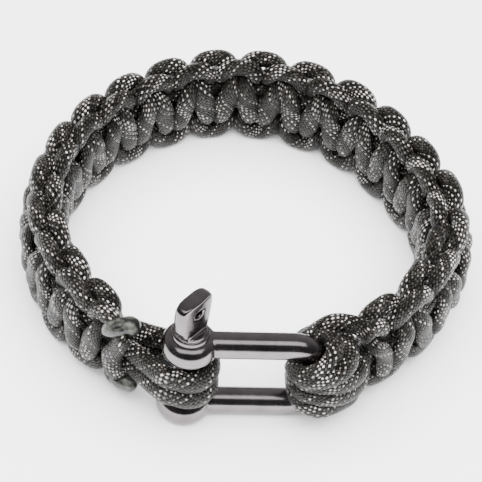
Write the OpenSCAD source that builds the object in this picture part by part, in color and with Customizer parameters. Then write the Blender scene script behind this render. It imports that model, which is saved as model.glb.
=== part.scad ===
// Woven cord bracelet, closed at the front by a D-shaped shackle with a screw pin.
// It lies on its lower edge: the floor is z = 0 and the z axis runs up the middle of the wrist opening.
// The shackle is at the front, at -y, with its pin at the left and its round end at the right.

/* [Wrist opening] */
// Clear width of the loop, from side to side
wrist_w = 71; // [66:0.5:76]
// Clear depth of the loop, from front to back
wrist_l = 72.5; // [68:0.5:78]

/* [Cord] */
// Diameter of the braided cord
cord_d = 3.5; // [3.3:0.1:3.7]
// Width of a knot, in cord diameters
knot_w = 6.05; // [6:0.05:6.4]
// Length of a pair of knots along the band, in cord diameters
knot_l = 2.89; // [2.8:0.05:3.1]
// Slack left between neighbouring turns of cord
cord_gap = 0.1; // [0.1:0.05:0.2]

/* [Shackle] */
// Diameter of the bow's rod
rod_d = 5.2; // [4.8:0.1:5.2]
// Clear width between the two legs of the bow
bow_gap = 10.8; // [10.6:0.1:11.4]
// Length from the pin's axis to the outside of the round end
bow_l = 27; // [26:0.5:29]
// Radius of the rod's middle line where a leg turns into the round end
bow_bend = 5; // [4:0.5:5.5]
// Diameter of the two eyes
eye_d = 10.6; // [10:0.1:11]
// Radius that rounds the edges of the eyes
eye_round = 2.4; // [1.8:0.1:2.5]
// Thickness of the two eyes, a little more than the rod's
eye_t = 5.4; // [5.3:0.1:5.6]
// How far left of the middle the pin stands
pin_left = 12.6; // [11.6:0.5:13.6]
// How far the straight shackle lies inside the round line of the band
bow_inset = 4.2; // [3.6:0.2:4.6]

/* [Screw pin] */
// Diameter of the pin
pin_d = 5; // [4.6:0.1:5]
// Clearance around the pin in its eyes
pin_clear = 0.05; // [0.03:0.01:0.08]
// Diameter of the collar that stops on the upper eye
collar_d = 7.2; // [6.4:0.1:8]
// Thickness of the collar
collar_t = 1.1; // [0.8:0.1:1.4]
// Diameter of the groove above the collar
neck_d = 6.1; // [5.4:0.1:6.3]
// Height of the groove above the collar
neck_h = 0.6; // [0.4:0.1:1]
// Width of the flat tab
tab_w = 7; // [6.2:0.1:7.6]
// Thickness of the flat tab
tab_t = 3.2; // [2.8:0.1:3.6]
// Height of the tab above the groove
tab_h = 9.4; // [9:0.1:11]
// Diameter of the hole through the tab
hole_d = 2; // [1.6:0.1:2.4]
// Height of the hole's middle above the groove
hole_h = 5.8; // [5:0.1:6.4]
// Angle of the tab's width from the legs of the bow
tab_turn = 47; // [15:1:60]

/* [Bare ends] */
// Length of the band's bare stretch on the pin's left
bare_l = 12.8; // [11.8:0.5:13.8]
// Length of the melted stubs on the two cut ends
melt_t = 3.6; // [3:0.1:4]

/* [Hidden] */
$fn = 64;

// Sides of the woven cords, and of the straight and wound ones
weave_sides = 7;
plain_sides = 8;

cord_r = cord_d / 2;
rod_r = rod_d / 2;
pin_r = pin_d / 2;
eye_r = eye_d / 2;
leg_z = (bow_gap + rod_d) / 2;
eye_top = leg_z + eye_t / 2;

// Half the band's width between the middles of its edge loops, and the band's mid height
edge_v = knot_w * cord_d / 2 - cord_r;
mid_z = max(edge_v + cord_r, eye_top);

// Squash of the cord: thin where it is pressed between neighbours, wide on the faces
face_thin = 0.78;
face_wide = 1.2;
dive_thin = 0.62;
core_thin = 0.85;
core_wide = 1.08;

// Heights of the face crossings and of the edge loops over the band's middle surface
face_w = cord_r * (core_thin + face_thin) + cord_gap;
loop_w = 1.1 * cord_r;
band_t = 2 * (face_w + cord_r * face_thin);

// How the loop departs from a plain oval: shares of the oval's radius at even steps of angle,
// counted from the front towards the shackle's round end
RING_FORM = [0.988, 0.922, 0.963, 1.01, 0.97, 1.001, 1.016, 0.983, 0.985, 1, 0.975, 0.972];

// Radii of the band's middle line, and the shackle's place
ring_x = (wrist_w + band_t) / 2;
ring_y = (wrist_l + band_t) / 2;
bow_y = bow_inset - ring_y * RING_FORM[0];
crown_x = bow_l - pin_left - rod_r;
corner_x = crown_x - bow_bend;
corner_z = leg_z - bow_bend;

// The first knots are stretched: pitches that they are longer by in all, and how fast that fades
slack = 1;
slack_fade = 2;

// Angles from the front between which the weave runs, the number of pitches and their even pitch
start_a = asin(crown_x / ring_x);
end_a = 360 - asin((pin_left + bare_l) / ring_x);
weave_l = PI * (ring_x + ring_y) * (end_a - start_a) / 360;
pitches = round(weave_l / (knot_l * cord_d) - slack);
pitch_a = (end_a - start_a) / (pitches + slack);

// The weave is a chain of square knots: one cord always crosses the outer face and loops back on
// the inner side of the edges, and the other crosses the inner face and loops back on the outer side.
// One half pitch of the cord that crosses the outer face, from one crossing to the next:
// [along, across, through, squash along, squash across, squash through], where along is a share
// of a pitch, across a share of edge_v, and through a share of face_w or, past the edge, loop_w
HALF = [
    [0.00, 0.00, 1.00, face_wide, 1, face_thin],
    [-0.1, 0.48, 0.92, 0.86, 1, 0.82],
    [-0.13, 0.66, -0.35, dive_thin, 1, 1],
    [-0.03, 0.91, -0.97, 0.85, 1, 1],
    [0.25, 1.00, -1.00, 1, 1, 1],
    [0.53, 0.91, -0.97, 0.85, 1, 1],
    [0.63, 0.66, -0.35, dive_thin, 1, 1],
    [0.6, 0.48, 0.92, 0.86, 1, 0.82]
];

// Where the middle of an edge loop lies in HALF, how much narrower the first loops are, and the far
// half of the last loop at the upper edge
loop_at = 0.25;
first_tight = 0.95;
last_tight = 0.55;

// A smooth closed curve through the shares in RING_FORM
function form(a) =
    let (
        n = len(RING_FORM), s = a * n / 360, i = floor(s), f = s - i,
        p = [for (k = [-1:2]) RING_FORM[(i + k + n) % n]]
    )
    p[1] + f / 2 * (p[2] - p[0] + f * (2 * p[0] - 5 * p[1] + 4 * p[2] - p[3]
        + f * (3 * (p[1] - p[2]) + p[3] - p[0])));
function unit(a) = a / norm(a);
function middle(a) = form(a) * [ring_x * sin(a), -ring_y * cos(a), 0] + [0, 0, mid_z];
function outward(a) =
    let (d = middle(a + 0.5) - middle(a - 0.5))
    unit([d.y, -d.x, 0]);
function angle_at(u) = start_a + pitch_a * (u + slack * (1 - exp(-u / slack_fade)));
function place(u, v, w) = middle(angle_at(u)) + [0, 0, v] + outward(angle_at(u)) * w;

// A ring of a cord: [middle, squash, outward direction at the squash]
function woven(row, level, up, out, tight = 1) =
    let (u = level + loop_at + (row[0] - loop_at) * tight)
    [
        place(u, up * row[1] * edge_v, out * row[2] * (row[2] > 0 ? face_w : loop_w)),
        [row[3], row[4], row[5]],
        outward(angle_at(u))
    ];
function bare(p) = [p, [1, 1, 1], [0, -1, 0]];

// A direction kept square to the next stretch of a cord
function square_to(n, t) = unit(n - t * (n * t));
function squash(o, s, w) =
    let (u = [-w.y, w.x, 0])
    u * (o * u) * s.x + [0, 0, o.z * s.y] + w * (o * w) * s.z;

// A closed tube of n sides along the rings, with flat ends
module tube(rings, n) {
    last = len(rings) - 1;
    t = [for (i = [0:last]) unit(rings[min(i + 1, last)][0] - rings[max(i - 1, 0)][0])];
    start = square_to(abs(t[0].z) < 0.7 ? [0, 0, 1] : [1, 0, 0], t[0]);
    side = [
        for (i = 0, k = start; i <= last; i = i + 1, k = i <= last ? square_to(k, t[i]) : k) k
    ];
    points = [
        for (i = [0:last], j = [0:n - 1])
            let (b = cross(t[i], side[i]), a = 360 * j / n)
            rings[i][0] + squash((side[i] * cos(a) + b * sin(a)) * cord_r, rings[i][1], rings[i][2])
    ];
    walls = [
        for (i = [0:last - 1], j = [0:n - 1])
            let (a = i * n + j, b = i * n + (j + 1) % n)
            each [[a, b + n, b], [a, a + n, b + n]]
    ];
    near = [for (j = [0:n - 1]) j];
    far = [for (j = [n - 1:-1:0]) last * n + j];
    polyhedron(points, concat([near], walls, [far]), 10);
}

// The crossings and edge loops of a cord: half of its first loop, its first crossing and second
// loop, and the rest from one half pitch to another
function opening(up, out) = [
    for (i = [4:6]) woven(HALF[i], 0.5, -up, out, first_tight),
    woven([0.66, 0.48, 0.92, 0.86, 1, 0.82], 0.5, -up, out),
    woven([0.14, 0, 1, 0.92, 1, face_thin], 1, up, out),
    woven([-0.05, 0.46, 0.97, 0.8, 1, 0.8], 1, up, out),
    for (i = [2:7]) woven(HALF[i], 1, up, out, first_tight)
];
function turns(first, last, up, out, closing) = [
    for (k = [first:last], row = HALF)
        woven(row, k / 2, k % 2 == 0 ? up : -up, out, k == last && row[0] > loop_at ? closing : 1)
];

// Routes of the bare stretches, chosen by hand.
// Around the pin and the round end: [angle from the right, distance from the rod's middle line
// in wrap radii, height in cord widths]
PIN_LOOP = [
    [222, 1.2, 1], [243, 1.02, 1], [267, 1, 1], [290, 1, 1], [315, 1, 1], [340, 1, 1], [5, 1, 1],
    [30, 1, 1], [55, 1, 1], [78, 1, 1], [98, 1.06, 1], [114, 1.3, 1], [127, 1.75, 1], [135, 2.2, 1],
    [138, 2.45, 1.02]
];
UPPER_LOOP = [
    [52, 1.1, 1.33], [72, 1.03, 1.33], [98, 1, 1.33], [125, 1, 1.33], [152, 1, 1.33], [180, 1, 1.33],
    [208, 1, 1.33], [237, 1, 1.33]
];
LOWER_LOOP = [
    [52, 1.1, -0.5], [72, 1.03, -0.5], [98, 1, -0.5], [125, 1, -0.5], [152, 1, -0.5], [180, 1, -0.5],
    [208, 1, -0.5], [237, 1, -0.5]
];
// From the gap of the bow to the edge of the band, and from the front of the round end into the
// band: [along the legs from the round end and out from the bow, in wrap radii, height as a share
// of edge_v]
UPPER_FRONT = [[0.06, -0.99, 0.27], [0.76, -0.9, 0.21], [1.45, -0.44, 0.1], [1.86, 0.2, 0.02]];
LOWER_FRONT = [[0.14, -1.01, -0.1], [0.84, -0.92, -0.17], [1.48, -0.44, -0.27], [1.91, 0.2, -0.32]];
UPPER_RISE = [
    [-1.05, 0.3, 0.42], [-0.8, 0.7, 0.46], [-0.35, 1.03, 0.58], [0, 1.14, 0.74], [0.28, 1.15, 0.9],
    [0.62, 1.15, 1.02], [1.03, 1.12, 1.05]
];
UPPER_START = [[1.09, 1.12, 1.05], [1.2, 1.11, 1.05], [1.5, 1, 1.05], [1.9, 0.74, 1.03], [2.2, 0.5, 1]];
LOWER_RISE = [
    [-0.97, 0.54, -0.32], [-1.02, 0, -0.33], [-0.88, -0.53, -0.36], [-0.5, -0.92, -0.42],
    [0.16, -1.05, -0.51], [0.62, -0.84, -0.56], [0.96, -0.6, -0.6]
];
LOWER_START = [[1.01, -0.565, -0.605], [1.2, -0.4, -0.63], [1.64, 0.1, -0.71]];
// The two extra turns on the upper bend of the bow: [angle round the rod, wrap radii, angle round
// the bend]
INNER_TURN = [for (a = [-175:30:35]) [a, 1.08, 36]];
OUTER_TURN = [
    [-135, 1.07, 26], [-120, 1.12, 24], [-95, 1.18, 21], [-70, 1.26, 19], [-45, 1.36, 18],
    [-20, 1.42, 18], [5, 1.42, 18], [35, 1.32, 18], [62, 1.15, 18]
];

// Distances of a wound cord from the middle line of the rod that it rests on
seat_gap = 0.2;
bow_wrap = rod_r + cord_r + seat_gap;
pin_wrap = pin_r + cord_r + seat_gap;

// Heights of the two straight strands over the middle: round the rods, and inside the weave
stack_z = cord_r + cord_gap / 2;
core_v = cord_r * core_wide + cord_gap / 2;

// Where the straight strands begin, in pitches from the start, their cut there, and how far the
// lashing's ends reach back from it and the strands run on past the last knot
core_start = 1.4;
core_cut = 0.03;
lash_lead = 0.44;
core_lead = 0.3;

// The weave's two cords from their last crossing to the cut, and the way that the melted ends point
UPPER_TIP = [HALF[0], [0.12, 0.45, 0.97, 0.86, 1, 0.82], [0.19, 0.7, 0.9, 1, 1, 1]];
UPPER_AHEAD = [0.3, 0.95, -0.25];
LOWER_TIP = [HALF[0], HALF[1], HALF[2], HALF[3], [0.1, 0.92, -1.15, 1, 1, 1]];
LOWER_AHEAD = [0.52, 0.8, -1.1];

// Radii of a melted end and of its dome, in cord radii, its gap to the cord, and the straight bit
// of cord before it
melt_wide = 0.93;
melt_dome = 1.1;
melt_gap = 0.1;
tip_l = 0.6;

function around(x, r, row, up) =
    bare([
        x + r * row[1] * cos(row[0]), bow_y + r * row[1] * sin(row[0]), mid_z + up * row[2] * stack_z
    ]);
function from_bow(row) =
    bare([crown_x + row[0] * bow_wrap, bow_y + row[1] * bow_wrap, mid_z + row[2] * edge_v]);
function in_core(u, up) =
    [place(u, up * core_v, 0), [core_wide, core_wide, core_thin], outward(angle_at(u))];

// A straight strand inside the weave, with its loop round the pin
module core_cord(up) {
    straight = pitches + core_lead - core_start;
    steps = round(straight * 2);
    tube(concat(
        [for (i = [0:steps]) in_core(core_start + core_cut + straight * i / steps, up)],
        [for (row = PIN_LOOP) around(-pin_left, pin_wrap, row, up)]
    ), plain_sides);
}

module core_cord_upper() {
    color("dimgray") core_cord(1);
}

module core_cord_lower() {
    color("slategray") core_cord(-1);
}

// The way that a cord's end points, and a place along it past the cut
function tip_way(tip, ahead_row, up, out) =
    unit(woven(ahead_row, pitches, up, out)[0] - woven(tip[len(tip) - 1], pitches, up, out)[0]);
function cut_at(tip, ahead_row, up, out, past) =
    woven(tip[len(tip) - 1], pitches, up, out)[0] + tip_way(tip, ahead_row, up, out) * (tip_l + past);

// A cord of the weave, from its start at the bow to its cut end beside the pin
module weave_cord(start, tip, ahead_row, up, out, closing) {
    tube(concat(
        [for (row = start) from_bow(row)], opening(up, out), turns(3, 2 * pitches - 1, up, out, closing),
        [for (row = tip) woven(row, pitches, up, out)],
        [bare(cut_at(tip, ahead_row, up, out, 0))]
    ), weave_sides);
}

module weave_cord_outer() {
    color("dimgray") weave_cord(LOWER_START, UPPER_TIP, UPPER_AHEAD, 1, 1, 1);
}

module weave_cord_inner() {
    color("slategray") weave_cord(UPPER_START, LOWER_TIP, LOWER_AHEAD, -1, -1, last_tight);
}

// A turn of cord round the upper bend of the bow
function round_bend(row) =
    let (out = [cos(row[2]), 0, sin(row[2])], off = out * cos(row[0]) + [0, sin(row[0]), 0])
    bare([corner_x, bow_y, mid_z + corner_z] + bow_bend * out + bow_wrap * row[1] * off);

// The turns of cord that hold the round end of the bow, pressed into one
module bow_lashing() {
    color("gray") {
        for (loop = [[UPPER_LOOP, UPPER_FRONT, 1], [LOWER_LOOP, LOWER_FRONT, -1]]) tube(concat(
            [for (row = loop[0]) around(crown_x, bow_wrap, row, 1)],
            [for (row = loop[1]) from_bow(row)],
            [for (back = [lash_lead, 0]) in_core(core_start - back, loop[2])]
        ), plain_sides);
        for (rise = [UPPER_RISE, LOWER_RISE]) tube([for (row = rise) from_bow(row)], plain_sides);
        for (turn = [INNER_TURN, OUTER_TURN]) tube([for (row = turn) round_bend(row)], plain_sides);
    }
}

// A cut end of a cord, melted to a shiny stub with a domed end
module melted_end(tip, ahead_row, up, out) {
    ahead = tip_way(tip, ahead_row, up, out);
    r = cord_r * melt_wide;
    dome_r = cord_r * melt_dome;
    translate(cut_at(tip, ahead_row, up, out, melt_gap)) rotate([0, acos(ahead.z), atan2(ahead.y, ahead.x)]) {
        cylinder(h = melt_t / 2, r = r);
        intersection() {
            translate([0, 0, melt_t - dome_r]) sphere(dome_r);
            translate([0, 0, melt_t / 4]) cylinder(h = melt_t, r = r);
        }
    }
}

module melted_end_upper() {
    color("black") melted_end(UPPER_TIP, UPPER_AHEAD, 1, 1);
}

module melted_end_lower() {
    color("black") melted_end(LOWER_TIP, LOWER_AHEAD, -1, -1);
}

// One leg of the bow, half of the round end and its eye, above the middle
module bow_half() {
    translate([corner_x, bow_y, leg_z]) rotate([0, -90, 0]) cylinder(h = corner_x + pin_left, r = rod_r);
    translate([corner_x, bow_y, corner_z]) rotate([90, 0, 0])
        rotate_extrude(angle = 90) translate([bow_bend, 0]) circle(rod_r);
    translate([crown_x, bow_y, 0]) cylinder(h = corner_z, r = rod_r);
    translate([-pin_left, bow_y, leg_z - eye_t / 2]) rotate_extrude() {
        square([eye_r - eye_round, eye_t]);
        translate([0, eye_round]) square([eye_r, eye_t - 2 * eye_round]);
        translate([eye_r - eye_round, eye_round]) circle(eye_round);
        translate([eye_r - eye_round, eye_t - eye_round]) circle(eye_round);
    }
}

module shackle_bow() {
    color("silver") translate([0, 0, mid_z]) difference() {
        union() {
            bow_half();
            mirror([0, 0, 1]) bow_half();
        }
        translate([-pin_left, bow_y, -eye_top - cord_gap])
            cylinder(h = 2 * (eye_top + cord_gap), r = pin_r + pin_clear);
    }
}

// The flat tab from the front: it widens from the groove and has round corners
module tab_outline() {
    corner = 0.45 * tab_w;
    shoulder = tab_h - corner;
    widest = 0.45 * tab_h;
    polygon([
        [-neck_d / 2, 0], [neck_d / 2, 0], [tab_w / 2, widest], [tab_w / 2, shoulder],
        [-tab_w / 2, shoulder], [-tab_w / 2, widest]
    ]);
    for (side = [-1, 1]) translate([side * (tab_w / 2 - corner), shoulder]) circle(corner);
    translate([corner - tab_w / 2, shoulder]) square([tab_w - 2 * corner, corner]);
}

module screw_pin() {
    color("silver") translate([-pin_left, bow_y, mid_z]) {
        translate([0, 0, -eye_top]) cylinder(h = 2 * eye_top + collar_t, r = pin_r);
        translate([0, 0, eye_top + pin_clear]) {
            cylinder(h = collar_t, d = collar_d);
            cylinder(h = collar_t + neck_h, d = neck_d);
            translate([0, 0, collar_t + neck_h]) rotate([90, 0, tab_turn]) difference() {
                translate([0, 0, -tab_t / 2]) linear_extrude(tab_t) tab_outline();
                translate([0, hole_h, -tab_t]) cylinder(h = 2 * tab_t, d = hole_d);
            }
        }
    }
}

shackle_bow();
screw_pin();
core_cord_upper();
core_cord_lower();
weave_cord_outer();
weave_cord_inner();
bow_lashing();
melted_end_upper();
melted_end_lower();
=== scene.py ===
# %% [markdown]
# # A woven cord bracelet with a steel shackle
# The bracelet is one long braided cord. Two straight strands of it run round the wrist, and the
# cord's two halves are tied round them in a chain of square knots. A small D-shackle with a screw
# pin closes the loop. The frame gives every solid piece at its real size, so this script only has
# to dress it: it rolls smooth cords, gives them their braid, and polishes the steel.

import math

import bmesh
import bpy
import numpy as np
from mathutils import Matrix, Vector


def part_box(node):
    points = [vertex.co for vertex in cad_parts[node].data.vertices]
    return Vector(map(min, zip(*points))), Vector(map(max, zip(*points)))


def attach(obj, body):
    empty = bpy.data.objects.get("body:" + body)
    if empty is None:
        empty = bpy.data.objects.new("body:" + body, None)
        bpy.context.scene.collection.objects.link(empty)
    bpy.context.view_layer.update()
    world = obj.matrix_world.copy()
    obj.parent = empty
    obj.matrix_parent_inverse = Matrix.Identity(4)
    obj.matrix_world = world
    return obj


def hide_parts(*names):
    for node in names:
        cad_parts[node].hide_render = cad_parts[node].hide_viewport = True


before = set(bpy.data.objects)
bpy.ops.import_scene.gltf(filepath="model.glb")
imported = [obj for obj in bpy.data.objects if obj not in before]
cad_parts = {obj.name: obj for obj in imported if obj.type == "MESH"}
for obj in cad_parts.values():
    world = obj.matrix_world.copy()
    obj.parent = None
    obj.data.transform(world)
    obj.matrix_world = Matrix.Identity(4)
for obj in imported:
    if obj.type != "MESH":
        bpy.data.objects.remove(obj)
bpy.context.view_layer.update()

# %% [markdown]
# ## The camera
# The bracelet lies on a table and was photographed from above its front with a long lens, held a
# little askew. Three angles and a target say where the camera stands: how far round to the left it
# is, how steeply it looks down, and how far it leans. Working its matrix out from these is
# plainer than turning an object by hand, and it can be checked against the picture.

# %% Camera
MM = 0.001
SENSOR_MM = 36
PHOTO_PX = 482
FOCAL_PX = 2200

CAMERA_AZIMUTH = math.radians(8.117)
CAMERA_DOWN = math.radians(46.598)
CAMERA_ROLL = math.radians(7.371)
CAMERA_DISTANCE = 437.56 * MM
CAMERA_TARGET = Vector((-0.69, -2.09, 11)) * MM


def camera_matrix():
    """The camera's place and turn, from its three angles, its target and its distance."""
    level = math.cos(CAMERA_DOWN)
    forward = Vector((
        math.sin(CAMERA_AZIMUTH) * level,
        math.cos(CAMERA_AZIMUTH) * level,
        -math.sin(CAMERA_DOWN),
    ))
    right = Vector((math.cos(CAMERA_AZIMUTH), -math.sin(CAMERA_AZIMUTH), 0))
    up = right.cross(forward)
    across = math.cos(CAMERA_ROLL) * right + math.sin(CAMERA_ROLL) * up
    upward = math.cos(CAMERA_ROLL) * up - math.sin(CAMERA_ROLL) * right
    turn = Matrix((across, upward, -forward)).transposed().to_4x4()
    return Matrix.Translation(CAMERA_TARGET - forward * CAMERA_DISTANCE) @ turn


lens = bpy.data.cameras.new("camera")
lens.sensor_width = SENSOR_MM
lens.lens = SENSOR_MM * FOCAL_PX / PHOTO_PX
lens.clip_start = 10 * MM
lens.clip_end = 10
camera = bpy.data.objects.new("camera", lens)
camera.matrix_world = camera_matrix()
bpy.context.scene.collection.objects.link(camera)
bpy.context.scene.camera = camera
print("camera: lens", round(lens.lens, 1), "mm")

# %% [markdown]
# ## Sizes
# The shackle's place comes from the frame: its bow gives the height of the band's middle, the line
# of its rods and the gap between them. These could be typed in as plain coordinates, but read from
# the frame they can't drift away from the solids. The cord's sizes and the form of the loop are the
# same named values as in the part's own source, in millimetres.

# %% Sizes of the shackle and the cord
bow_low, bow_high = (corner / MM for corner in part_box("shackle_bow"))
pin_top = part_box("screw_pin")[1].z / MM

ROD_D = 5.2
EYE_T = 5.4
BOW_BEND = 5
CORD_D = 3.5
CORD_GAP = 0.1

# A knot's width and length are counted in cord diameters
KNOT_W = 6.05
KNOT_L = 2.89

rod_r = ROD_D / 2
cord_r = CORD_D / 2
bow_y = (bow_low.y + bow_high.y) / 2
mid_z = (bow_low.z + bow_high.z) / 2
crown_x = bow_high.x - rod_r
corner_x = crown_x - BOW_BEND
eye_r = (bow_high.y - bow_low.y) / 2
pin_x = bow_low.x + eye_r
eye_top = (bow_high.z - bow_low.z) / 2
leg_z = eye_top - EYE_T / 2
corner_z = leg_z - BOW_BEND
edge_v = KNOT_W * CORD_D / 2 - cord_r
print("shackle: pin at", round(pin_x, 2), "crown at", round(crown_x, 2), "middle", round(mid_z, 2))

# %% [markdown]
# ## The line of the band
# A worn bracelet is never a true oval: its knots set stiffly here and give way there. In the editor
# one would bend a circle by hand. Here the middle line is an oval whose radius is scaled by twelve
# shares, one every thirty degrees, joined by a smooth closed curve, because the part's source draws
# the same line. Everything on the band is then placed by three numbers: how many pitches along it,
# how far across it (up or down), and how far through it (outward or inward).

# %% The middle line
WRIST_W = 71
WRIST_L = 72.5
BARE_L = 12.8
RING_FORM = np.array([
    0.988, 0.922, 0.963, 1.01, 0.97, 1.001, 1.016, 0.983, 0.985, 1, 0.975, 0.972,
])

# The first knots are stretched: pitches that they are longer by in all, and how fast that fades
SLACK = 1
SLACK_FADE = 2

# A pressed cord's thickness and width, as shares, on the band's faces, at its edges and inside it
FACE_THIN = 0.78
FACE_WIDE = 1.32
DIVE_THIN = 0.9
CORE_THIN = 0.85
CORE_WIDE = 1.08

# How far from the band's middle a loop stands, in cord radii: the loops of both cords press together
LOOP_OUT = 0.9

face_w = cord_r * (CORE_THIN + FACE_THIN) + CORD_GAP
loop_w = LOOP_OUT * cord_r
band_t = 2 * (face_w + cord_r * FACE_THIN)
ring_x = (WRIST_W + band_t) / 2
ring_y = (WRIST_L + band_t) / 2


def form(angle):
    """The share of the oval's radius at an angle in degrees from the front."""
    place_on = angle * len(RING_FORM) / 360
    first = math.floor(place_on)
    f = place_on - first
    a, b, c, d = RING_FORM[(first + np.arange(-1, 3)) % len(RING_FORM)]
    return b + f / 2 * (c - a + f * (2 * a - 5 * b + 4 * c - d + f * (3 * (b - c) + d - a)))


def middle(angle):
    """A point of the band's middle line."""
    turn = math.radians(angle)
    share = form(angle)
    return np.array([share * ring_x * math.sin(turn), -share * ring_y * math.cos(turn), mid_z])


def outward(angle):
    """The level direction out of the band."""
    ahead = middle(angle + 0.5) - middle(angle - 0.5)
    return np.array([ahead[1], -ahead[0], 0]) / math.hypot(ahead[0], ahead[1])


start_a = math.degrees(math.asin(crown_x / ring_x))
end_a = 360 - math.degrees(math.asin((BARE_L - pin_x) / ring_x))
weave_l = math.pi * (ring_x + ring_y) * (end_a - start_a) / 360
pitches = round(weave_l / (KNOT_L * CORD_D) - SLACK)
pitch_a = (end_a - start_a) / (pitches + SLACK)


def angle_at(pitch):
    """The angle round the loop after a number of pitches."""
    return start_a + pitch_a * (pitch + SLACK * (1 - math.exp(-pitch / SLACK_FADE)))


# The lower edge is drawn up beside the shackle: from which depth, by which share of what lies past
# it, and over how many pitches that fades at the start and at the end
PULL_FROM = 0.4
PULL = 0.4
PULL_START_L = 2.8
PULL_END_L = 1.1

# The first knots' upper edge stands higher: at which pitch, over how many, and by which share
LIFT_AT = 2.2
LIFT_L = 1.3
LIFT = 0.22

# The weave is thicker at the right and the left: at which angle, over how many degrees, by how much
BULGES = [[84, 28, 0.36], [282, 30, 0.14]]


def place(pitch, across, through):
    """A point of the band, in millimetres."""
    angle = angle_at(pitch)
    fade = math.exp(-(pitch / PULL_START_L)**4) + math.exp(-((pitches - pitch) / PULL_END_L)**4)
    rise = max(0, -PULL_FROM * edge_v - across) * PULL * fade
    rise += max(0, across - PULL_FROM * edge_v) * LIFT * math.exp(-((pitch - LIFT_AT) / LIFT_L)**2)
    thicker = 1 + sum(share * math.exp(-((angle - at) / width)**2) for at, width, share in BULGES)
    return middle(angle) + np.array([0, 0, across + rise]) + outward(angle) * through * thicker


print("band:", pitches, "pitches of", round(weave_l / pitches, 2), "mm")

# %% [markdown]
# ## A cord as a rolled grid
# A braided sleeve is a long strip of cells closed into a tube, and that is how it is made here: a
# grid is rolled round a route, and its two long sides are merged. A curve with a round bevel would
# be quicker, but it can't be pressed flat where one cord lies on another. The grid also brings its
# own UV map, which runs once round the cord and along its length in millimetres, so the braid can
# follow every bend. A route is a few chosen rows, each with a point, three squash shares and the
# direction in which the last of them works. A smooth curve joins the rows, and rings are set on it
# at even steps.

# %% Routes
BRAID_UV = "braid"
CORD_SIDES = 24
RING_STEP = 0.42

# Curve points from row to row, and how steep a cord may start with its seam still on top
SAMPLES = 24
STEEP = 0.7


def row(point, squash=(1, 1, 1), direction=(0, -1, 0)):
    """One row of a route: where the cord is, and how it is pressed there."""
    return np.concatenate([point, squash, direction])


def smooth_route(rows, step=RING_STEP):
    """Rings at even steps on a smooth curve through the rows."""
    rows = np.array(rows)
    chord = np.linalg.norm(np.diff(rows[:, :3], axis=0), axis=1)
    knots = np.concatenate([[0], np.cumsum(np.sqrt(chord))])
    slope = np.diff(rows, axis=0) / np.diff(knots)[:, None]
    before, after = np.diff(knots)[:-1, None], np.diff(knots)[1:, None]
    inner = (slope[:-1] * after + slope[1:] * before) / (before + after)
    slopes = np.concatenate([slope[:1], inner, slope[-1:]])
    t = np.linspace(0, 1, SAMPLES, endpoint=False)[:, None]
    fine = []
    for i in range(len(rows) - 1):
        span = knots[i + 1] - knots[i]
        fine.append(
            (2 * t**3 - 3 * t**2 + 1) * rows[i] + (t**3 - 2 * t**2 + t) * span * slopes[i]
            + (3 * t**2 - 2 * t**3) * rows[i + 1] + (t**3 - t**2) * span * slopes[i + 1]
        )
    fine = np.concatenate([*fine, rows[-1:]])
    run = np.concatenate([[0], np.cumsum(np.linalg.norm(np.diff(fine[:, :3], axis=0), axis=1))])
    even = np.linspace(0, run[-1], max(2, round(run[-1] / step)) + 1)
    rings = np.stack([np.interp(even, run, fine[:, k]) for k in range(fine.shape[1])], axis=1)
    return rings, run[-1]


def ring_points(rings, radius=cord_r):
    """The points round each ring, in millimetres, squashed as its row says."""
    ahead = np.gradient(rings[:, :3], axis=0)
    ahead /= np.linalg.norm(ahead, axis=1)[:, None]
    side = np.array([0, 0, 1.0]) if abs(ahead[0, 2]) < STEEP else np.array([1.0, 0, 0])
    turn = np.arange(CORD_SIDES) * 2 * math.pi / CORD_SIDES
    points = []
    for ring, forward in zip(rings, ahead):
        side = side - forward * side.dot(forward)
        side /= np.linalg.norm(side)
        other = np.cross(forward, side)
        offset = radius * (np.outer(np.cos(turn), side) + np.outer(np.sin(turn), other))
        press = ring[6:9] / np.linalg.norm(ring[6:9])
        along = np.array([-press[1], press[0], 0])
        up = np.array([0, 0, 1.0])
        squashed = sum(np.outer(offset @ way * share, way)
                       for way, share in zip((along, up, press), ring[3:6]))
        points.append(ring[:3] + squashed)
    return np.array(points)


print("cords:", CORD_SIDES, "sides, a ring every", RING_STEP, "mm")


# %% Rolling a cord
def roll_cord(bm, rows):
    """Adds one closed cord to a bmesh and returns its length in millimetres."""
    rings, length = smooth_route(rows)
    points = ring_points(rings) * MM
    count = len(points)
    uv = bm.loops.layers.uv.get(BRAID_UV) or bm.loops.layers.uv.new(BRAID_UV)
    made = bmesh.ops.create_grid(
        bm, x_segments=CORD_SIDES, y_segments=count - 1, size=0.5, calc_uvs=True)["verts"]
    faces = {face for vert in made for face in vert.link_faces}
    for vert in made:
        side = round((vert.co.x + 0.5) * CORD_SIDES) % CORD_SIDES
        vert.co = points[round((vert.co.y + 0.5) * (count - 1)), side]
    for face in faces:
        face.smooth = True
        for loop in face.loops:
            loop[uv].uv.y *= length
    bmesh.ops.remove_doubles(bm, verts=made, dist=MM / 1000)
    rims = [edge for edge in bm.edges if edge.is_boundary]
    bmesh.ops.holes_fill(bm, edges=rims, sides=CORD_SIDES)
    bmesh.ops.recalc_face_normals(bm, faces=bm.faces)
    return length


# %% Finishing a piece
def finish_piece(name, bm, material, body, slot, *nodes):
    """Turns a bmesh into a piece that rides on a body and stands for its nodes."""
    mesh = bpy.data.meshes.new(name)
    bm.to_mesh(mesh)
    bm.free()
    mesh.materials.append(material)
    piece = bpy.data.objects.new(name, mesh)
    bpy.context.scene.collection.objects.link(piece)
    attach(piece, body)
    if nodes:
        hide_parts(*nodes)
    return piece


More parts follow.
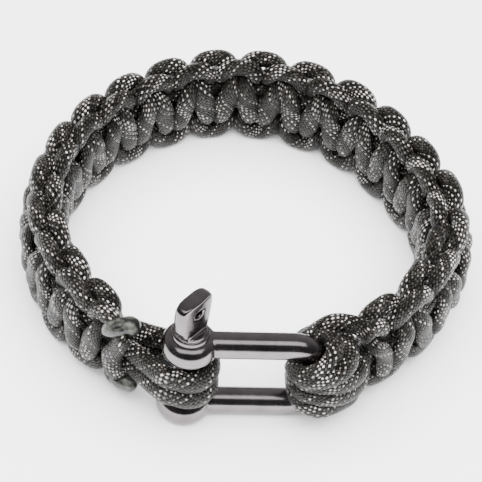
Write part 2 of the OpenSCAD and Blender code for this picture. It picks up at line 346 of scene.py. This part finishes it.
# %% [markdown]
# ## The braid
# The cord's sleeve is braided from thirty-two fine nylon yarns, sixteen wound each way, and each
# passes over one and under one. Modelled one by one they would take millions of faces on nearly
# three metres of cord, so the shader draws them. It counts both families of yarns from the UV map:
# whole numbers say which yarn is at a point, and the fractions say where on it the point lies. The
# yarns that wind one way are almost black. Those that wind the other way are black, grey, silver or
# brownish, each in one colour all along and worn dull in patches: these are the flecks.
# The grooves between the yarns get painted shade, which is darkened into their colour.

# %% A small kit for shader nodes
def new_material(name):
    """A material with an empty tree but for its output and shader."""
    material = bpy.data.materials.new(name)
    material.use_nodes = True
    tree = material.node_tree
    tree.nodes.clear()
    output = tree.nodes.new("ShaderNodeOutputMaterial")
    shader = tree.nodes.new("ShaderNodeBsdfPrincipled")
    tree.links.new(shader.outputs[0], output.inputs[0])
    return material, tree, shader


def feed(tree, socket, value):
    """Links a socket to a node's output, or sets it to a number."""
    if isinstance(value, bpy.types.NodeSocket):
        tree.links.new(value, socket)
    else:
        socket.default_value = value


def maths(tree, operation, a, b=0.0, c=0.0):
    """The output of a math node."""
    made = tree.nodes.new("ShaderNodeMath")
    made.operation = operation
    for socket, value in zip(made.inputs, (a, b, c)):
        feed(tree, socket, value)
    return made.outputs[0]


def mix_numbers(tree, share, a, b):
    """a where share is 0, b where it is 1."""
    made = tree.nodes.new("ShaderNodeMix")
    feed(tree, made.inputs[0], share)
    feed(tree, made.inputs[2], a)
    feed(tree, made.inputs[3], b)
    return made.outputs[0]


def mix_colours(tree, share, a, b, blend="MIX"):
    """Colour a where share is 0, and b laid over it where it is 1."""
    made = tree.nodes.new("ShaderNodeMix")
    made.data_type = "RGBA"
    made.blend_type = blend
    feed(tree, made.inputs[0], share)
    feed(tree, made.inputs[6], a)
    feed(tree, made.inputs[7], b)
    return made.outputs[2]


def ramp(tree, value, stops, steps=False):
    """A colour for each value, from a list of places and colours."""
    made = tree.nodes.new("ShaderNodeValToRGB")
    made.color_ramp.interpolation = "CONSTANT" if steps else "LINEAR"
    elements = made.color_ramp.elements
    while len(elements) < len(stops):
        elements.new(0.5)
    for element, (position, colour) in zip(elements, stops):
        element.position = position
        element.color = (*colour, 1)
    feed(tree, made.inputs[0], value)
    return made.outputs[0]


def grain(tree, vector, scale, detail=2.0, roughness=0.5):
    """The value of a noise texture."""
    made = tree.nodes.new("ShaderNodeTexNoise")
    feed(tree, made.inputs["Vector"], vector)
    made.inputs["Scale"].default_value = scale
    made.inputs["Detail"].default_value = detail
    made.inputs["Roughness"].default_value = roughness
    return made.outputs[0]


def dice(tree, a, b=None):
    """A random number for a whole number, or for a pair of them."""
    made = tree.nodes.new("ShaderNodeTexWhiteNoise")
    if b is None:
        made.noise_dimensions = "1D"
        feed(tree, made.inputs["W"], a)
    else:
        made.noise_dimensions = "2D"
        pair = tree.nodes.new("ShaderNodeCombineXYZ")
        feed(tree, pair.inputs[0], a)
        feed(tree, pair.inputs[1], b)
        tree.links.new(pair.outputs[0], made.inputs["Vector"])
    return made.outputs[0]


def bump(tree, shader, height, distance, strength=1.0):
    """Raises a shader's surface by a height in metres."""
    made = tree.nodes.new("ShaderNodeBump")
    made.inputs["Distance"].default_value = distance
    made.inputs["Strength"].default_value = strength
    tree.links.new(height, made.inputs["Height"])
    tree.links.new(made.outputs[0], shader.inputs["Normal"])


# %% The braided sleeve
YARNS = 16
YARN_STEP_MM = 0.72
YARN_RAISE_MM = 0.16

# How finely and by how many yarns the braid wanders, and where its flecks are worn dull
WANDER_GRAIN = 450
WANDER = 0.9
WEAR_GRAIN = 260
WEAR = [(0.36, (0.28, 0.27, 0.255)), (0.6, (1, 1, 1))]

# How full a yarn is across and along, how dark its painted groove shade is, how far random tones
# spread
FULL_ACROSS = 0.9
FULL_ALONG = 0.45
GROOVE_SHADE_POWER = 1.6
SHADE_LEAST = 0.5
SHADE_SPREAD = 0.75

# From which share of the yarns on each colour is used
DARK_YARNS = [
    (0.0, (0.003, 0.003, 0.0025)),
    (0.5, (0.008, 0.008, 0.0065)),
    (0.8, (0.031, 0.026, 0.023)),
]
FLECK_YARNS = [
    (0.0, (0.018, 0.018, 0.015)),
    (0.22, (0.06, 0.055, 0.048)),
    (0.43, (0.5, 0.465, 0.45)),
    (0.84, (0.28, 0.2, 0.17)),
]


def braided_sleeve(name, seed):
    """Nylon yarns braided over one and under one, with painted shade in the grooves between them."""
    material, tree, shader = new_material(name)
    uv = tree.nodes.new("ShaderNodeUVMap")
    uv.uv_map = BRAID_UV
    split = tree.nodes.new("ShaderNodeSeparateXYZ")
    tree.links.new(uv.outputs[0], split.inputs[0])
    place_at = tree.nodes.new("ShaderNodeTexCoord").outputs["Object"]
    wobble = maths(tree, "MULTIPLY", grain(tree, place_at, WANDER_GRAIN, detail=1), WANDER)
    around = maths(tree, "MULTIPLY_ADD", split.outputs[0], YARNS, wobble)
    along = maths(tree, "DIVIDE", split.outputs[1], YARN_STEP_MM)
    right = maths(tree, "ADD", around, along)
    left = maths(tree, "SUBTRACT", around, along)
    right_id, right_at = maths(tree, "FLOOR", right), maths(tree, "FRACT", right)
    left_id, left_at = maths(tree, "FLOOR", left), maths(tree, "FRACT", left)
    turn = maths(tree, "FLOORED_MODULO", maths(tree, "ADD", right_id, left_id), 2)
    left_on_top = maths(tree, "GREATER_THAN", turn, 0.5)
    across = mix_numbers(tree, left_on_top, right_at, left_at)
    run = mix_numbers(tree, left_on_top, left_at, right_at)
    right_yarn = maths(tree, "FLOORED_MODULO", right_id, YARNS)
    left_yarn = maths(tree, "FLOORED_MODULO", left_id, YARNS)
    dark_at = dice(tree, maths(tree, "ADD", left_yarn, seed))
    dark = ramp(tree, dark_at, DARK_YARNS, steps=True)
    fleck_at = dice(tree, maths(tree, "ADD", right_yarn, seed + YARNS))
    fleck = ramp(tree, fleck_at, FLECK_YARNS, steps=True)
    worn = ramp(tree, grain(tree, place_at, WEAR_GRAIN), WEAR)
    fleck = mix_colours(tree, 1.0, fleck, worn, "MULTIPLY")
    colour = mix_colours(tree, left_on_top, fleck, dark)
    side_curve = maths(tree, "SINE", maths(tree, "MULTIPLY", across, math.pi))
    end_curve = maths(tree, "SINE", maths(tree, "MULTIPLY", run, math.pi))
    height = maths(tree, "MULTIPLY", maths(tree, "POWER", side_curve, FULL_ACROSS),
                   maths(tree, "POWER", end_curve, FULL_ALONG))
    shade = maths(tree, "MULTIPLY_ADD", dice(tree, right_id, left_id), SHADE_SPREAD, SHADE_LEAST)
    # Painted shade: floats darken towards their sides and ends, in the grooves, multiplied into the
    # colour
    groove_shade_mask = maths(tree, "POWER", height, GROOVE_SHADE_POWER)
    depth = ramp(tree, maths(tree, "MULTIPLY", groove_shade_mask, shade), [(0, (0, 0, 0)), (1, (1, 1, 1))])
    tree.links.new(mix_colours(tree, 1.0, colour, depth, "MULTIPLY"), shader.inputs["Base Color"])
    shader.inputs["Roughness"].default_value = 0.36
    shader.inputs["Specular IOR Level"].default_value = 0.26
    bump(tree, shader, height, YARN_RAISE_MM * MM)
    return material


sleeve = braided_sleeve("braided_nylon", 0)
print("braid:", 2 * YARNS, "yarns,", len(tuple(sleeve.node_tree.nodes)), "nodes")

# %% [markdown]
# ## The weave
# Each square knot crosses the band twice, and the two cords always keep to their own face: one
# crosses on the outside and turns back on the inner side of the edges, and the other crosses on
# the inside and turns back on the outer side. Every knot could be drawn on its own, but they are
# all the same knot, so one half pitch, turned over and carried along, draws both cords. What makes
# the band uneven is its middle line.

# %% Half a pitch of the weave
# Columns: along, across and through as shares, then the squash along, across and through
HALF = [
    [0.00, 0.00, 1.00, FACE_WIDE, 1, FACE_THIN],
    [-0.07, 0.38, 1.00, 1.05, 1, 0.8],
    [-0.12, 0.57, 0.50, 0.86, 1, 0.9],
    [-0.13, 0.66, -0.35, DIVE_THIN, 1, 1],
    [-0.085, 0.83, -0.88, 0.9, 1, 1],
    [0.05, 0.96, -1.00, 0.95, 1, 1],
    [0.25, 1.00, -1.00, 1, 1, 1],
    [0.45, 0.96, -1.00, 0.95, 1, 1],
    [0.585, 0.83, -0.88, 0.9, 1, 1],
    [0.63, 0.66, -0.35, DIVE_THIN, 1, 1],
    [0.62, 0.57, 0.50, 0.86, 1, 0.9],
    [0.57, 0.38, 1.00, 1.05, 1, 0.8],
]

# The middle of a loop along the half pitch, and how tight the first and the last loops are drawn
LOOP_AT = 0.25
FIRST_TIGHT = 0.95
LAST_TIGHT = 0.55

# The first crossing stands back for the straight strands that dive under it
OPENING = [
    [0.655, 0.57, 0.50, 0.86, 1, 0.9],
    [0.66, 0.38, 1.00, 1, 1, 0.8],
    [0.64, 0.00, 1.00, 1.1, 1, FACE_THIN],
    [0.56, -0.3, 1.00, 1, 1, 0.8],
    [0.43, -0.5, 0.90, 0.8, 1, 0.8],
]

# The two cords from their last crossing to the cut, and the way that the melted ends point
UPPER_TIP = [
    HALF[0], [0.07, 0.3, 1, 1.05, 1, 0.8], [0.13, 0.5, 0.97, 1, 1, 0.9], [0.19, 0.7, 0.9, 1, 1, 1],
]
UPPER_AHEAD = [0.3, 0.95, -0.25]
LOWER_TIP = HALF[:5] + [[-0.02, 0.92, -1, 0.95, 1, 1], [0.1, 0.92, -1.15, 1, 1, 1]]
LOWER_AHEAD = [0.52, 0.8, -1.1]
TIP_L = 0.6
print("weave:", len(HALF), "rows to half a pitch")


# %% Rows of the weave
def woven(share, level, up, out, tight=1):
    """One row of the weave, at a number of pitches, for an edge and a face."""
    through = out * share[2] * (face_w if share[2] > 0 else loop_w)
    pitch = level + LOOP_AT + (share[0] - LOOP_AT) * tight
    return row(place(pitch, up * share[1] * edge_v, through), share[3:], outward(angle_at(pitch)))


def tip_line(tip, ahead, up, out):
    """Where a cord's end row is, and the direction in which it points."""
    last = woven(tip[-1], pitches, up, out)[:3]
    way = woven([*ahead, 1, 1, 1], pitches, up, out)[:3] - last
    return last, way / np.linalg.norm(way)


def weave_rows(up, out, tip, ahead, closing):
    """A cord of the weave from its first knot to its cut end."""
    rows = [woven(share, 0.5, -up, out, FIRST_TIGHT) for share in HALF[6:10]]
    rows += [woven(share, 0.5, -up, out) for share in OPENING]
    rows += [woven(share, 1, up, out, FIRST_TIGHT) for share in HALF[3:]]
    for half in range(3, 2 * pitches):
        far = closing if half == 2 * pitches - 1 else 1
        rows += [
            woven(share, half / 2, up if half % 2 == 0 else -up, out, far if share[0] > LOOP_AT else 1)
            for share in HALF
        ]
    last, way = tip_line(tip, ahead, up, out)
    return rows + [woven(share, pitches, up, out) for share in tip] + [row(last + way * TIP_L)]


# %% [markdown]
# ## The bare stretches
# Past the last knots the strands are bare: two loops go round the pin, two more go round the end of
# the bow, and from there the cord rises and falls to begin the weave. No rule draws such a tangle,
# so these routes are given row by row. Their distances are counted in radii of a cord
# wound on the rod, which keeps the cords clear of the steel.

# %% Routes of the bare stretches
SEAT_GAP = 0.2
bow_wrap = rod_r + cord_r + SEAT_GAP
stack_z = cord_r + CORD_GAP / 2
core_v = cord_r * CORE_WIDE + CORD_GAP / 2

# A loop round the pin: angle, distance, and height in cord layers, then how it is pressed
PIN_LOOP = [
    [222, 1.2, 1.22], [243, 1.02, 1.14], [267, 1, 1.03], [290, 1, 1], [315, 1, 1], [340, 1, 1],
    [5, 1, 1], [30, 1, 1], [55, 1, 1], [78, 1, 1], [98, 1.06, 1], [114, 1.3, 1], [127, 1.75, 1],
    [135, 2.2, 1], [139, 2.6, 1.03], [143, 3.1, 1.08], [147, 3.6, 1.1],
]
PIN_PRESS = (1, 1.27, 1.1)

# A loop round the end of the bow: angle, distance and press along x, and the height of both loops
BOW_LOOP = [
    [52, 1.1, 1], [72, 1.03, 1], [98, 1, 0.95], [125, 0.97, 0.85], [152, 0.93, 0.78],
    [180, 0.92, 0.78], [208, 0.93, 0.8], [237, 0.98, 0.9],
]
UPPER_LOOP_Z = 1.33
LOWER_LOOP_Z = -0.5

# Rows beside the end of the bow: along x and y, the height as a share, for some the press along x
UPPER_FRONT = [[0.06, -0.99, 0.27], [0.76, -0.9, 0.21], [1.45, -0.44, 0.1], [1.86, 0.2, 0.02]]
LOWER_FRONT = [[0.14, -1.01, -0.1], [0.84, -0.92, -0.17], [1.48, -0.44, -0.27], [1.91, 0.2, -0.32]]
UPPER_RISE = [
    [-0.93, 0.3, 0.42, 0.8], [-0.76, 0.7, 0.46], [-0.35, 1.03, 0.58], [0, 1.14, 0.74],
    [0.28, 1.15, 0.9], [0.62, 1.15, 1.02],
]
UPPER_START = [[1.06, 1.12, 1.05], [1.5, 1, 1.05], [1.9, 0.74, 1.03], [2.2, 0.5, 1]]
LOWER_RISE = [
    [-0.88, 0.54, -0.32, 0.8], [-0.9, 0, -0.33, 0.75], [-0.8, -0.53, -0.36, 0.85],
    [-0.46, -0.9, -0.42], [0.16, -1.05, -0.51], [0.62, -0.84, -0.56],
]
LOWER_START = [[1.01, -0.565, -0.605], [1.64, 0.1, -0.71]]

# The two extra turns on the upper bend: angle round the rod, wrap radii, angle round the bend
INNER_TURN = [[angle, 0.99, 34] for angle in range(-175, 96, 30)]
OUTER_TURN = [
    [-170, 1.0, 30], [-145, 1.05, 27], [-120, 1.12, 24], [-95, 1.18, 21], [-70, 1.26, 19],
    [-45, 1.36, 18], [-20, 1.42, 18], [5, 1.42, 18], [35, 1.52, 15], [62, 1.62, 11], [90, 1.56, 8],
    [115, 1.35, 8], [140, 1.05, 12],
]

# Where the straight strands start and end inside the weave, in pitches
CORE_START = 1.4
LASH_LEAD = 0.44
CORE_LEAD = 0.3
print("turns on the upper bend:", len(INNER_TURN), "and", len(OUTER_TURN), "rows")


# %% Rows round the rods
def around(x, share, up, press=(1, 1, 1)):
    """A row wound round an upright rod, from an angle, a distance and a height."""
    turn = math.radians(share[0])
    reach = bow_wrap * share[1]
    height = mid_z + (up + share[2] - 1) * stack_z * press[1]
    return row([x + reach * math.cos(turn), bow_y + reach * math.sin(turn), height], press)


def from_bow(share):
    """A row beside the round end of the bow, flattened on it where there is a fourth number."""
    point = [crown_x + share[0] * bow_wrap, bow_y + share[1] * bow_wrap, mid_z + share[2] * edge_v]
    return row(point, (share[3] if len(share) > 3 else 1, 1, 1))


def in_core(pitch, up):
    """A row of a straight strand inside the weave."""
    squash = (CORE_WIDE, CORE_WIDE, CORE_THIN)
    return row(place(pitch, up * core_v, 0), squash, outward(angle_at(pitch)))


def round_bend(share):
    """A row of a turn round the upper bend of the bow."""
    angle, lean = math.radians(share[0]), math.radians(share[2])
    out = np.array([math.cos(lean), 0, math.sin(lean)])
    off = out * math.cos(angle) + np.array([0, math.sin(angle), 0])
    bend = np.array([corner_x, bow_y, mid_z + corner_z])
    return row(bend + BOW_BEND * out + bow_wrap * share[1] * off)


# %% The cords
def cord_piece(name, routes, *nodes):
    """One piece of cord, or several that are tied together, on the bracelet's body."""
    bm = bmesh.new()
    length = sum(roll_cord(bm, rows) for rows in routes)
    piece = finish_piece(name, bm, sleeve, "bracelet", "cord", *nodes)
    print(name, "is", round(length), "mm of cord in", len(piece.data.polygons), "faces")
    return piece


def core_rows(up):
    """A straight strand, and its loop round the pin."""
    inside = np.arange(CORE_START, pitches + CORE_LEAD, 0.5)
    return [in_core(pitch, up) for pitch in inside] + [
        around(pin_x, share, up, PIN_PRESS) for share in PIN_LOOP]


def front_loop(height, front, up):
    """A straight strand's loop round the end of the bow, until it is inside the weave."""
    rows = [around(crown_x, [*share[:2], height], 1, (share[2], 1, 1)) for share in BOW_LOOP]
    rows += [from_bow(share) for share in front]
    return rows + [in_core(CORE_START - back, up) for back in (LASH_LEAD, 0)]


# %% Roll the cords
upper_start = [from_bow(share) for share in UPPER_START]
lower_start = [from_bow(share) for share in LOWER_START]
lashes = [
    front_loop(UPPER_LOOP_Z, UPPER_FRONT, 1),
    front_loop(LOWER_LOOP_Z, LOWER_FRONT, -1),
    [from_bow(share) for share in UPPER_RISE + UPPER_START[:2]],
    [from_bow(share) for share in LOWER_RISE + LOWER_START[:2]],
    [round_bend(share) for share in INNER_TURN],
    [round_bend(share) for share in OUTER_TURN],
]
outer_rows = lower_start + weave_rows(1, 1, UPPER_TIP, UPPER_AHEAD, 1)
inner_rows = upper_start + weave_rows(-1, -1, LOWER_TIP, LOWER_AHEAD, LAST_TIGHT)
cord_piece("weave_outer", [outer_rows], "weave_cord_outer")
cord_piece("weave_inner", [inner_rows], "weave_cord_inner")
cord_piece("core_upper", [core_rows(1)], "core_cord_upper")
cord_piece("core_lower", [core_rows(-1)], "core_cord_lower")
cord_piece("lashing", lashes, "bow_lashing")

# %% [markdown]
# ## Steel
# The shackle is polished stainless steel, dark where it mirrors the room, with the haze and the
# fine scratches of use. Its solids are exact but have sharp inner corners, which forging doesn't
# leave. A bevel would need every such edge picked out, so a copy of each solid is remeshed finely
# and smoothed, which fills and rounds them all. The pin's tab is a plain plate in the solid, and is
# pressed here into the squarish oval of the real one.

# %% Steel
STEEL_TONES = [(0.3, (0.15, 0.134, 0.138)), (0.7, (0.22, 0.198, 0.203))]
HAZE_GRAIN = 180
HAZE_ROUGH = 0.16
LEAST_ROUGH = 0.12
FINE_GRAIN = 900
SCRATCH_MM = 0.004


def worn_steel(name):
    """Polished steel with a little haze and fine scratches."""
    material, tree, shader = new_material(name)
    place_at = tree.nodes.new("ShaderNodeTexCoord").outputs["Object"]
    haze = grain(tree, place_at, HAZE_GRAIN, detail=4, roughness=0.6)
    shader.inputs["Metallic"].default_value = 1
    tree.links.new(ramp(tree, haze, STEEL_TONES), shader.inputs["Base Color"])
    rough = maths(tree, "MULTIPLY_ADD", haze, HAZE_ROUGH, LEAST_ROUGH)
    tree.links.new(rough, shader.inputs["Roughness"])
    scratches = grain(tree, place_at, FINE_GRAIN, detail=3, roughness=0.6)
    bump(tree, shader, scratches, SCRATCH_MM * MM)
    return material


steel = worn_steel("worn_steel")
print("steel:", len(tuple(steel.node_tree.nodes)), "nodes")

# %% The pin's tab
TAB_TURN = math.radians(47)
TAB_H = 9.4
TAB_ROUNDS = 30

# Shares: how oval its section is, how high it stands, how much its sides are raised, how wide it is
TAB_OVAL = 0.75
TAB_LOWER = 0.88
TAB_RAISE = 0.14
TAB_WIDER = 1.22

# The height above its foot over which this form sets in
TAB_FADE = 2


def soften_tab(bm):
    """Rounds the pin's tab to an oval with a squarer top."""
    foot = pin_top - TAB_H
    tab = [vert for vert in bm.verts if vert.co.z / MM > foot]
    wide = Vector((math.cos(TAB_TURN), math.sin(TAB_TURN), 0))
    thick = wide.cross(Vector((0, 0, 1)))
    axis = Vector((pin_x, bow_y, 0)) * MM
    ways = (wide, thick)
    before = [max(abs((vert.co - axis).dot(way)) for vert in tab) for way in ways]
    top = max(vert.co.z for vert in tab)
    for _ in range(TAB_ROUNDS):
        bmesh.ops.smooth_vert(
            bm, verts=tab, factor=0.5, use_axis_x=True, use_axis_y=True, use_axis_z=True)
    after = [max(abs((vert.co - axis).dot(way)) for vert in tab) for way in ways]
    grow = [was / now for was, now in zip(before, after)]
    lift = top - max(vert.co.z for vert in tab)
    for vert in tab:
        share = min(1, (vert.co.z / MM - foot) / TAB_FADE)
        high = max(0, (vert.co.z / MM - foot) / TAB_H)
        u, t = (vert.co - axis).dot(wide), (vert.co - axis).dot(thick)
        u_share, t_share = min(1, abs(u / before[0])), min(1, abs(t / before[1]))
        wider = grow[0] * TAB_WIDER * (1 - TAB_OVAL * (1 - math.sqrt(1 - t_share**2 / 2)))
        thicker = grow[1] * (1 - TAB_OVAL * (1 - math.sqrt(1 - u_share**2 / 2)))
        vert.co += wide * u * (wider - 1) * share + thick * t * (thicker - 1) * share
        vert.co.z += lift * share + high * TAB_H * MM * (TAB_RAISE * u_share**2 + TAB_LOWER - 1)


# %% Bow and pin
def forged(name, node_name, body, voxel, rounds):
    """A copy of a steel node with its corners filled and rounded, as forging leaves them."""
    bm = bmesh.new()
    bm.from_mesh(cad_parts[node_name].data)
    bmesh.ops.remove_doubles(bm, verts=bm.verts, dist=MM / 1000)
    raw = bpy.data.meshes.new(name + "_raw")
    bm.to_mesh(raw)
    bm.free()
    shape = bpy.data.objects.new(name + "_raw", raw)
    bpy.context.scene.collection.objects.link(shape)
    skin = shape.modifiers.new("skin", "REMESH")
    skin.mode = "VOXEL"
    skin.voxel_size = voxel
    soften = shape.modifiers.new("soften", "SMOOTH")
    soften.iterations = rounds
    finished = bpy.data.meshes.new_from_object(
        shape.evaluated_get(bpy.context.evaluated_depsgraph_get()))
    bpy.data.objects.remove(shape)
    bm = bmesh.new()
    bm.from_mesh(finished)
    if node_name == "screw_pin":
        soften_tab(bm)
    for face in bm.faces:
        face.smooth = True
    piece = finish_piece(name, bm, steel, body, "steel", node_name)
    print(name, "has", len(piece.data.polygons), "faces")
    return piece


forged("bow", "shackle_bow", "bracelet", voxel=0.2 * MM, rounds=8)
forged("pin", "screw_pin", "pin", voxel=0.14 * MM, rounds=6)

# %% [markdown]
# ## Melted ends
# The two cut ends of the cord were melted with a flame and pressed down while they were soft, which
# leaves a dark glossy lump drawn out along the edge. It could be sculpted by hand, but a short route
# of the same rolled grid, with a thickness of its own at each row, gives the same lump and can be
# placed on the band. Its dents come from the material.

# %% Melted nylon
MELT_TONES = [(0.46, (0.003, 0.003, 0.003)), (0.66, (0.042, 0.043, 0.037))]
PATCH_GRAIN = 700
DENT_MM = 0.15


def melted_nylon(name):
    """Nylon that melted and set again."""
    material, tree, shader = new_material(name)
    place_at = tree.nodes.new("ShaderNodeTexCoord").outputs["Object"]
    patches = grain(tree, place_at, PATCH_GRAIN, detail=3, roughness=0.6)
    tree.links.new(ramp(tree, patches, MELT_TONES), shader.inputs["Base Color"])
    shader.inputs["Roughness"].default_value = 0.3
    shader.inputs["Coat Weight"].default_value = 0.2
    dents = grain(tree, place_at, FINE_GRAIN, detail=3, roughness=0.6)
    bump(tree, shader, dents, DENT_MM * MM)
    return material


melted = melted_nylon("melted_nylon")
print("melted nylon:", len(tuple(melted.node_tree.nodes)), "nodes")

# %% The two lumps
# Pitches past the last knot, across, millimetres outward, and the share of the cord's thickness
UPPER_NUB = [
    [-0.16, 0.72, 3.1, 0.6], [-0.06, 0.88, 3.0, 0.95], [0.04, 0.96, 2.4, 1.08], [0.14, 0.97, 1.3, 1],
    [0.22, 0.96, 0.5, 1.08], [0.29, 0.93, -0.4, 0.75], [0.32, 0.91, -0.8, 0.3],
]
LOWER_NUB = [
    [0, -0.82, 2.1, 0.7], [0.08, -0.86, 2.1, 0.95], [0.2, -0.9, 2, 1.02], [0.34, -0.9, 1.8, 0.98],
    [0.45, -0.87, 1.5, 0.75], [0.5, -0.86, 1.4, 0.25],
]


def nub(name, form, node_name):
    """A melted end: a lump drawn out along the edge where it was pressed down while soft."""
    bm = bmesh.new()
    roll_cord(bm, [
        row(place(pitches + pitch, across * edge_v, through), (share, share, share))
        for pitch, across, through, share in form
    ])
    return finish_piece(name, bm, melted, "bracelet", "melted_cord", node_name)


nub("melted_upper", UPPER_NUB, "melted_end_upper")
nub("melted_lower", LOWER_NUB, "melted_end_lower")
print("melted nylon on two ends")

# %% [markdown]
# ## Floor and light
# The floor is plain and pale. A wide soft light above the bracelet lights it evenly, and a weaker
# one fills its front. One lamp would do for cord alone, but steel shows what it mirrors and needs
# bands of dark and light. So those two are hidden from its reflections, and what it sees is a long
# narrow strip, the floor, and a room that is dark in front and paler behind.

# %% Floor
FLOOR_SIZE = 4
FLOOR_GAP_MM = 0.05
floor_bm = bmesh.new()
bmesh.ops.create_grid(floor_bm, x_segments=1, y_segments=1, size=FLOOR_SIZE / 2)
floor_mesh = bpy.data.meshes.new("floor")
floor_bm.to_mesh(floor_mesh)
floor_bm.free()
floor = bpy.data.objects.new("floor", floor_mesh)
floor.location.z = -FLOOR_GAP_MM * MM
bpy.context.scene.collection.objects.link(floor)
floor_material, _, floor_shader = new_material("pale_floor")
floor_shader.inputs["Base Color"].default_value = (0.7, 0.7, 0.7, 1)
floor_shader.inputs["Roughness"].default_value = 0.7
floor_shader.inputs["Specular IOR Level"].default_value = 0.2
floor_mesh.materials.append(floor_material)
print("floor:", FLOOR_SIZE, "m wide")


# %% Lights
def soft_light(name, place_at, size, power, seen_in_steel):
    """An area light that faces the bracelet."""
    data = bpy.data.lights.new(name, "AREA")
    data.shape = "RECTANGLE"
    data.size, data.size_y = size
    data.energy = power
    light = bpy.data.objects.new(name, data)
    light.location = place_at
    light.rotation_mode = "QUATERNION"
    light.rotation_quaternion = Vector(place_at).to_track_quat("Z", "Y")
    light.visible_glossy = seen_in_steel
    bpy.context.scene.collection.objects.link(light)


soft_light("overhead", (0, 0, 1.1), size=(2.2, 2.2), power=168, seen_in_steel=False)
soft_light("front", (0, -0.7, 1), size=(1, 1), power=12, seen_in_steel=False)
soft_light("strip", (0, -0.26, 0.83), size=(1.2, 0.42), power=5, seen_in_steel=True)
print("lights: two soft ones and a strip for the steel")

# %% The room
ROOM_TONES = [
    (0, (0.07, 0.07, 0.074)),
    (0.45, (0.15, 0.15, 0.15)),
    (0.7, (0.4, 0.398, 0.395)),
    (1, (0.56, 0.56, 0.555)),
]
world = bpy.data.worlds.new("room")
bpy.context.scene.world = world
world.use_nodes = True
room = world.node_tree
look = room.nodes.new("ShaderNodeSeparateXYZ")
room.links.new(room.nodes.new("ShaderNodeTexCoord").outputs["Generated"], look.inputs[0])
towards_back = maths(room, "MULTIPLY_ADD", look.outputs[1], 0.5, 0.5)
room.links.new(ramp(room, towards_back, ROOM_TONES), room.nodes["Background"].inputs["Color"])
print("room: dark in front, paler behind")
